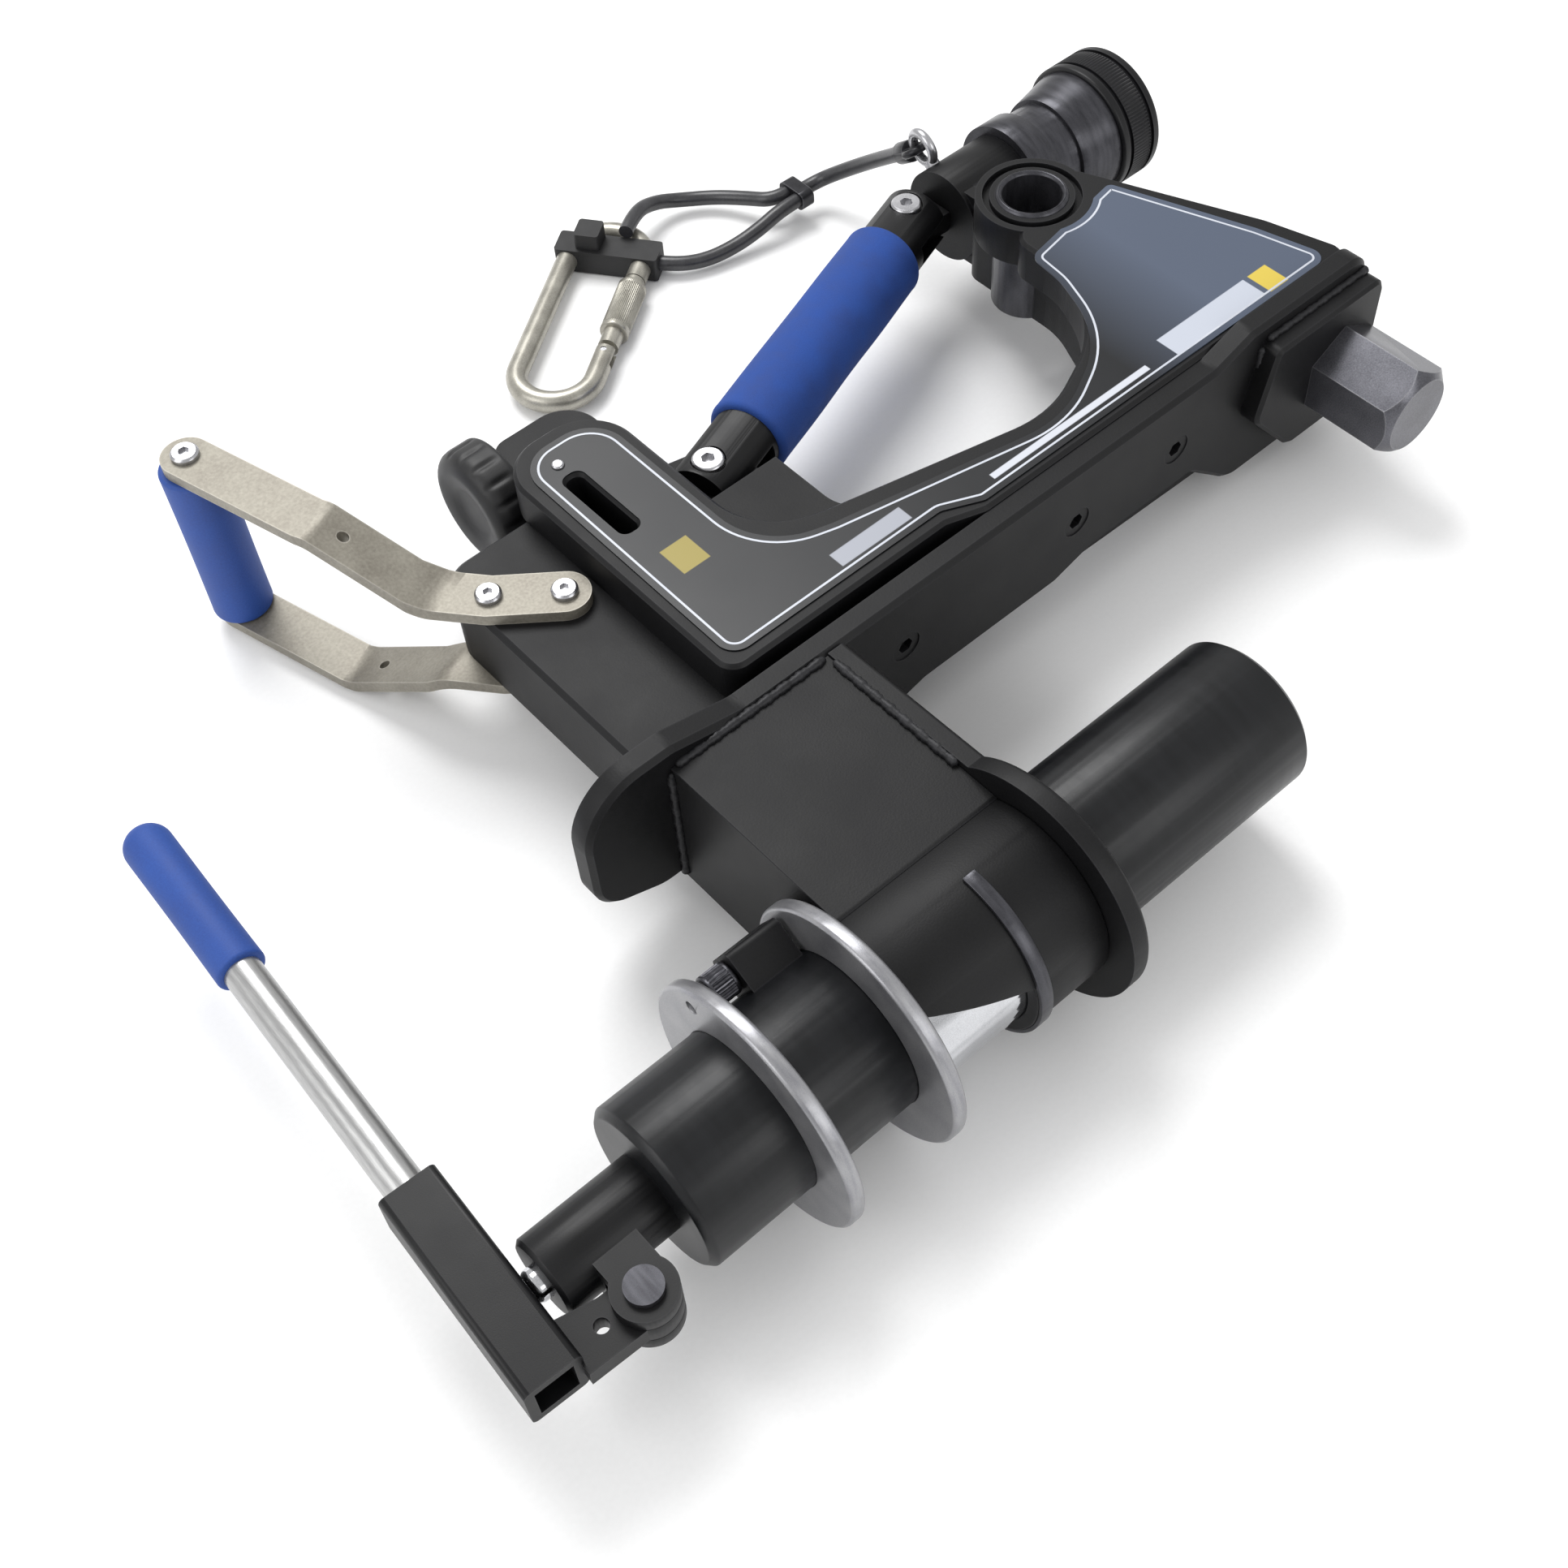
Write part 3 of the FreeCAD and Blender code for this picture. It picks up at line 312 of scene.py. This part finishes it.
# ================= wing plate and stub
# The wing is a flame-cut steel bar with broken edges, screwed to the back of the body. The block and its
# hexagon stub are one lump of steel welded under the wing's right end.
dress(["wing_plate", "stub_block"], forged, 0.9, 3)
dress(["wing_screws"], forged, 0.2)
hex_steel = material("plated hexagon bar", "68686e", "46464b", 0.3, metallic=0.75, grain=0.6, patch=22, bump=0.02,
                     wear="9b9b9e")
dress(["hex_stub"], hex_steel, 0.5)

# ================= bracket
# Box arm, holder and end flange are welded plate and tube, blackened after welding. A dark steel band
# holds the lip of the holder beside its open window.
dress(["box_arm", "holder_barrel", "end_flange"], forged, 0.8, 3)
dress(["holder_band"], turned, 0.3)


def tube_between(name, start, end, radius, mat, body="frame", rough=0.35):
    """Weld bead: a low round bar with an uneven surface laid along a seam."""
    start, end = Vector(start) * MM, Vector(end) * MM
    along = end - start
    steps = max(6, int(along.length / (1.1 * MM)))
    turn = along.to_track_quat("Z", "Y").to_matrix()
    shape = bmesh.new()
    rings = []
    for i in range(steps + 1):
        swell = radius * MM * (1 + rough * 0.35 * math.sin(i * 2.4) + 0.12 * math.sin(i * 0.9))
        if i in (0, steps):
            swell *= 0.45
        centre = start + along * (i / steps)
        rings.append([shape.verts.new(centre + turn @ Vector((swell * math.cos(k * math.tau / 12),
                                                              swell * math.sin(k * math.tau / 12), 0)))
                      for k in range(12)])
    for low, high in zip(rings[:-1], rings[1:]):
        for k in range(12):
            shape.faces.new((low[k], low[(k + 1) % 12], high[(k + 1) % 12], high[k]))
    shape.faces.new(list(reversed(rings[0])))
    shape.faces.new(rings[-1])
    bmesh.ops.recalc_face_normals(shape, faces=shape.faces)
    for face in shape.faces:
        face.smooth = True
    mesh = bpy.data.meshes.new(name)
    shape.to_mesh(mesh)
    shape.free()
    return link(bpy.data.objects.new(name, mesh), mat, body)


BEAD_R = 1.7
weld_metal = material("blackened weld metal", "2a2a2d", "19191b", 0.5, metallic=0.4, grain=0.7, patch=6, bump=0.08)
for name, a, b in (("weld_arm_top", (-78, -0.6, 33.4), (-10, -0.6, 33.4)),
                   ("weld_arm_side", (-80.4, -0.6, -30), (-80.4, -0.6, 31)),
                   ("weld_flange_top", (-8.6, -66, 34), (-8.6, -4, 33.6)),
                   ("weld_block_side", (221, -0.6, -2), (221, -0.6, 31)),
                   ("weld_block_top", (224, -0.6, 33.4), (284, -0.6, 33.4)),
                   ("weld_holder", (-79, -78.5, 29), (-10, -78.5, 29))):
    tube_between(name, a, b, BEAD_R, weld_metal)

# ================= hydraulic cartridge
# Blued steel barrel with two satin zinc guide rings, a hard-chromed ram and a blued thrust sleeve. The
# ram's guide is bronze and its piston seal nitrile.
blued = material("blued turned steel", "111215", "08090b", 0.36, metallic=0.05, grain=0.6, patch=26, bump=0.02,
                 stretch=(6, 1, 1), wear="343437", shine=0.35)
chrome = material("hard chrome", "d9dadd", "b9babd", 0.1, metallic=1.0, grain=0.4, patch=20, bump=0.002)
bronze = material("bearing bronze", "a97b45", "84602f", 0.35, metallic=0.9, grain=0.6, patch=10, bump=0.01)
nitrile = material("nitrile rubber", "1c1c1d", "121213", 0.6, grain=0.5, patch=6, bump=0.02)
dress(["barrel", "thrust_sleeve"], blued, 0.5)
ring_zinc = material("satin zinc ring", "a3a3a5", "85858a", 0.34, metallic=0.7, grain=0.6, patch=12, bump=0.02,
                     stretch=(6, 1, 1))
dress(["ring_front", "ring_rear"], ring_zinc, 0.4)
dress(["ram"], chrome, 0.3)
dress(["ram_guide"], bronze, 0)
dress(["piston_seal"], nitrile, 0)
dress(["valve_block"], forged, 0.5)


def revolve(name, profile, origin, direction, mat, body, sides=96, relief=None):
    """Turned or moulded piece: profile of (distance along the axis, radius), in millimetres."""
    turn = Vector(direction).to_track_quat("Z", "Y").to_matrix()
    origin = Vector(origin)
    shape = bmesh.new()
    rings = []
    for s, r in profile:
        ring = []
        for k in range(sides):
            angle = k * math.tau / sides
            grown = r + (relief(s, angle) if relief else 0.0)
            local = Vector((grown * math.cos(angle), grown * math.sin(angle), s))
            ring.append(shape.verts.new((origin + turn @ local) * MM))
        rings.append(ring)
    for low, high in zip(rings[:-1], rings[1:]):
        for k in range(sides):
            shape.faces.new((low[k], low[(k + 1) % sides], high[(k + 1) % sides], high[k]))
    if profile[0] != profile[-1]:
        shape.faces.new(list(reversed(rings[0])))
        shape.faces.new(rings[-1])
    else:
        bmesh.ops.remove_doubles(shape, verts=shape.verts, dist=0.000001)
    bmesh.ops.recalc_face_normals(shape, faces=shape.faces)
    for face in shape.faces:
        face.smooth = True
    for edge in shape.edges:
        if len(edge.link_faces) == 2 and edge.calc_face_angle() > math.radians(40):
            edge.smooth = False
    mesh = bpy.data.meshes.new(name)
    shape.to_mesh(mesh)
    shape.free()
    return link(bpy.data.objects.new(name, mesh), mat, body)


def rounded_end(s, r, radius, steps, side):
    """Quarter-round profile points at an end; side is -1 at the start and 1 at the finish."""
    points = []
    for i in range(steps + 1):
        angle = math.pi / 2 * i / steps
        points.append((s - side * radius * (1 - math.cos(angle)), r - radius * (1 - math.sin(angle))))
    return points if side < 0 else points[::-1]


# ================= release screw
# Turned steel with a coarsely knurled thumb knob, screwed into the valve block.
AXIS_Y = -102
RELEASE_OUT = 38
RELEASE_R = 6.2
RELEASE_L = 10.0
RELEASE_STEM_R = 3.0
release_lean = math.radians(30)
release_at = (-123.3, AXIS_Y + RELEASE_OUT * math.cos(release_lean), RELEASE_OUT * math.sin(release_lean))


def knurl(depth, count, low, high):
    """Straight knurl between two places along the axis."""
    def lift(s, angle):
        if s <= low or s >= high:
            return 0.0
        return -depth * (0.5 + 0.5 * math.cos(angle * count))
    return lift


profile = rounded_end(0, RELEASE_R, 0.8, 4, -1) + [(s, RELEASE_R) for s in (1.4, 1.5, 8.4, 8.5)]
profile += rounded_end(RELEASE_L, RELEASE_R, 0.8, 4, 1)
profile += [(RELEASE_L, RELEASE_STEM_R), (RELEASE_L + 13.0, RELEASE_STEM_R)]
screw = revolve("release_thumb_screw", profile, release_at, (1, 0, 0), turned, "release_screw", 160,
                knurl(0.45, 32, 1.45, 8.45))
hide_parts("release_screw")

# ================= hand pump
# Black anodised alloy block with a lug for the lever's pivot pin, and a chromed plunger.
alloy = material("black anodised alloy", "0f0f11", "070708", 0.42, metallic=0.0, grain=0.5, patch=18, bump=0.02,
                 wear="2a2a2c", shine=0.3)
dress(["pump_block"], alloy, 0.7)
dress(["pivot_pin"], turned, 0.5)
dress(["plunger"], chrome, 0)

# ================= lever
# Milled black socket, satin alloy tube and a moulded blue sleeve with a soft rounded tip.
dress(["lever_socket"], alloy, 0.7)
tube_alloy = material("satin alloy tube", "bcbcbb", "9f9f9f", 0.3, metallic=0.85, grain=0.5, patch=12, bump=0.01,
                      stretch=(1, 0.08, 1))
dress(["lever_tube"], tube_alloy, 0)
blue = material("blue moulded grip", "1d4795", "153a82", 0.62, grain=0.7, patch=26, bump=0.05)
PIVOT = Vector((-199, -129, 0))
lever_way = Matrix.Rotation(math.radians(-2.6), 3, "Z")
lever_dir = lever_way @ Vector((0, 1, 0))
grip_foot = PIVOT + lever_way @ Vector((-246.5 + 199 + 10.5, 182, 0))
profile = [(0.2, 7.05)] + [(p[0] + 0.2, p[1]) for p in rounded_end(0, 9.2, 1.5, 5, -1)][1:]
profile += [(s, 9.2 - 0.12 * math.sin(math.pi * (s - 2) / 60)) for s in range(4, 66, 3)]
profile += [(75 - 8 * (1 - math.cos(a)), 9.2 - 8 * (1 - math.sin(a)))
            for a in [math.pi / 2 * i / 10 for i in range(10, -1, -1)]]
grip = revolve("lever_grip_sleeve", profile, grip_foot, lever_dir, blue, "lever", 96)
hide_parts("lever_grip")

# ================= hub and stepped pin
# Machined hub on the right arm's tip. The pin is turned from one bar in two steps and a taper, and ends
# in a collar with fine straight knurling.
dress(["pin_hub"], forged, 0.7)
dress(["stepped_pin"], turned, 0.4)
COLLAR_X = 298.3
COLLAR_R = 30.5
COLLAR_GROOVE_R = 29.1
PIN_Y = 172
collar_steel = material("blackened collar steel", "111114", "09090b", 0.42, metallic=0.0, grain=0.7, patch=18,
                        bump=0.04, wear="303033", shine=0.3)
profile = [(1.0, 16.2)] + rounded_end(0, COLLAR_R, 1.4, 5, -1)
profile += [(3.9, COLLAR_R), (4.0, COLLAR_GROOVE_R), (5.9, COLLAR_GROOVE_R)]
profile += [(s, COLLAR_R) for s in (6.0, 6.1, 6.2, 16.7, 16.8, 16.9)]
profile += [(17.0, COLLAR_GROOVE_R), (18.9, COLLAR_GROOVE_R), (19.0, COLLAR_R)]
profile += rounded_end(23, COLLAR_R, 1.6, 5, 1)
profile += [(23.0, 24.0), (22.0, 22.6), (22.0, 9.0), (22.4, 8.0), (22.4, 0.4)]
collar = revolve("pin_collar", profile, (COLLAR_X, PIN_Y, 0), (1, 0, 0), collar_steel,
                 "stepped_pin", 720, knurl(0.5, 120, 6.15, 16.75))
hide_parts("knurled_collar")

# ================= end knob
# Moulded black knob with shallow flutes round its rim, on a steel stud.
moulded = material("moulded black", "101012", "0a0a0b", 0.5, grain=0.6, patch=16, bump=0.04)


def flutes(s, angle):
    if s < 3 or s > 15.5:
        return 0.0
    return -0.9 * max(0.0, math.cos(angle * 18)) ** 2 * math.sin(math.pi * (s - 3) / 12.5) ** 0.5


KNOB_X = -46.3
KNOB_R = 26.0
KNOB_L = 18.0
profile = [(2.4, 0.4), (2.4, 10.0), (1.2, 12.5)]
profile += rounded_end(0, KNOB_R, 7.5, 9, -1) + [(s, KNOB_R) for s in (9, 10.5, 12, 13.5, 15)]
profile += rounded_end(KNOB_L, KNOB_R, 2.0, 5, 1) + [(KNOB_L, 6.2)]
knob = revolve("fluted_end_knob", profile, (KNOB_X, PIN_Y, 0), (1, 0, 0), moulded, "end_knob", 216, flutes)
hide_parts("end_knob")
dress(["knob_stud"], satin, 0.3)

# ================= strut handle
# Black anodised tube bolted at both ends, under a sleeve of blue closed-cell foam that bulges a little
# and tucks in at its ends.
dress(["strut_tube"], alloy, 0.6)
dress(["strut_lug"], forged, 0.5)
dress(["strut_bolts"], satin, 0.2)
foam = material("blue closed-cell foam", "1c4490", "14387d", 0.82, grain=0.45, patch=12, bump=0.12)
STRUT_A, STRUT_B = Vector((34, 118, 0)), Vector((196, 176.4, 0))
strut_dir = (STRUT_B - STRUT_A).normalized()
FOAM_L = 122
FOAM_R = 17.9
FOAM_BORE_R = 15.1
profile = rounded_end(0, FOAM_R, 2.6, 8, -1)
profile += [(s, FOAM_R - 0.1 * math.cos(math.tau * s / 61)) for s in [2.8 + i * 2.02 for i in range(1, 58)]]
profile += rounded_end(FOAM_L, FOAM_R, 2.6, 8, 1)
profile = [(0.0, FOAM_BORE_R)] + profile + [(FOAM_L, FOAM_BORE_R)]
sleeve = revolve("strut_foam", profile, STRUT_A + strut_dir * 29, strut_dir, foam, "frame", 128,
                 lambda s, a: 0.06 * math.sin(3 * a + s * 0.11) * math.sin(math.pi * s / FOAM_L))
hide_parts("strut_grip")

# ================= carry handle
# Two bent strips of zinc plated steel, held by button screws, with a steel rod and a blue moulded sleeve.
dress(["carry_bar_top", "carry_bar_bottom"], zinc, 0.6, 3)
dress(["carry_screws"], satin, 0.2)
dress(["carry_rod"], satin, 0.3)
CARRY_R = 12.5
CARRY_L = 79.4
CARRY_BORE_R = 7.2
profile = [(0.0, CARRY_BORE_R)] + rounded_end(0, CARRY_R, 1.6, 5, -1)
profile += [(s, CARRY_R - 0.25 * math.sin(math.pi * s / CARRY_L)) for s in range(3, 78, 3)]
profile += rounded_end(CARRY_L, CARRY_R, 1.6, 5, 1) + [(CARRY_L, CARRY_BORE_R)]
carry = revolve("carry_grip_sleeve", profile, (-126, 233.5, -CARRY_L / 2), (0, 0, 1), blue, "carry_grip", 96)
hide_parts("carry_grip")

# ================= carabiner
# Satin alloy bar bent round, with a sprung gate, a knurled locking sleeve and a black rubber keeper.
ring_alloy = material("satin alloy ring", "b3b0a6", "8f8c83", 0.34, metallic=0.7, grain=0.6, patch=9, bump=0.02)
dress(["carabiner", "gate"], ring_alloy, 0)
dress(["gate_pin"], satin, 0)
dress(["anchor_eye"], satin, 0)
pressed = material("dark pressed ferrule", "2b2b2f", "1a1a1d", 0.34, metallic=0.5, grain=0.5, patch=6, bump=0.04,
                   wear="77777b")
dress(["ferrule", "swage_end"], pressed, 0.3)
dress(["keeper"], nitrile, 0.8, 3)
RING_ANG = math.radians(35.4)
ring_u = Vector((math.cos(RING_ANG), math.sin(RING_ANG), 0))
ring_w = Vector((math.sin(RING_ANG), -math.cos(RING_ANG), 0))
RING_CENTRE = Vector((84.1, 274.6, -41))
LOCK_R = 6.8
LOCK_L = 32.0
LOCK_BORE_R = 4.9
lock_foot = RING_CENTRE + ring_u * -10 + ring_w * 18
profile = [(0.0, LOCK_BORE_R)] + rounded_end(0, LOCK_R, 0.8, 4, -1) + [(s, LOCK_R) for s in (2.9, 3.0, 29.0, 29.1)]
profile += rounded_end(LOCK_L, LOCK_R, 0.8, 4, 1) + [(LOCK_L, LOCK_BORE_R)]
lock = revolve("gate_locking_sleeve", profile, lock_foot, ring_u, ring_alloy, "gate_sleeve", 288,
               knurl(0.35, 48, 2.95, 29.05))
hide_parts("gate_sleeve")

# ================= studio
# Seamless pale floor under broad soft lights.
floor_mesh = bpy.data.meshes.new("floor")
FLOOR_HALF = 6.0
FLOOR_Z = -0.0481
corners = [(x * FLOOR_HALF, y * FLOOR_HALF, FLOOR_Z) for x, y in ((-1, -1), (1, -1), (1, 1), (-1, 1))]
floor_mesh.from_pydata(corners, [], [(0, 1, 2, 3)])
floor = bpy.data.objects.new("floor", floor_mesh)
bpy.context.scene.collection.objects.link(floor)
paper = material("studio paper", "fafafa", "f6f6f6", 0.9, grain=2, patch=200, bump=0.0)
floor_mesh.materials.append(paper)


def soft_light(name, place, size, power):
    data = bpy.data.lights.new(name, "AREA")
    data.shape = "DISK"
    data.size = size
    data.energy = power
    lamp = bpy.data.objects.new(name, data)
    lamp.location = place
    lamp.rotation_euler = (Vector((0.05, 0.05, 0)) - Vector(place)).to_track_quat("-Z", "Y").to_euler()
    bpy.context.scene.collection.objects.link(lamp)


soft_light("key", (0.3, 1.1, 1.6), 1.1, 26)
soft_light("fill", (-1.4, 0.3, 1.0), 1.2, 9)
soft_light("front", (0.4, -1.5, 0.8), 1.0, 6)
world = bpy.data.worlds.new("studio")
world.use_nodes = True
world.node_tree.nodes["Background"].inputs["Color"].default_value = (1, 1, 1, 1)
world.node_tree.nodes["Background"].inputs["Strength"].default_value = 0.75
bpy.context.scene.world = world
bpy.context.scene.view_settings.view_transform = "Standard"

bpy.context.view_layer.update()
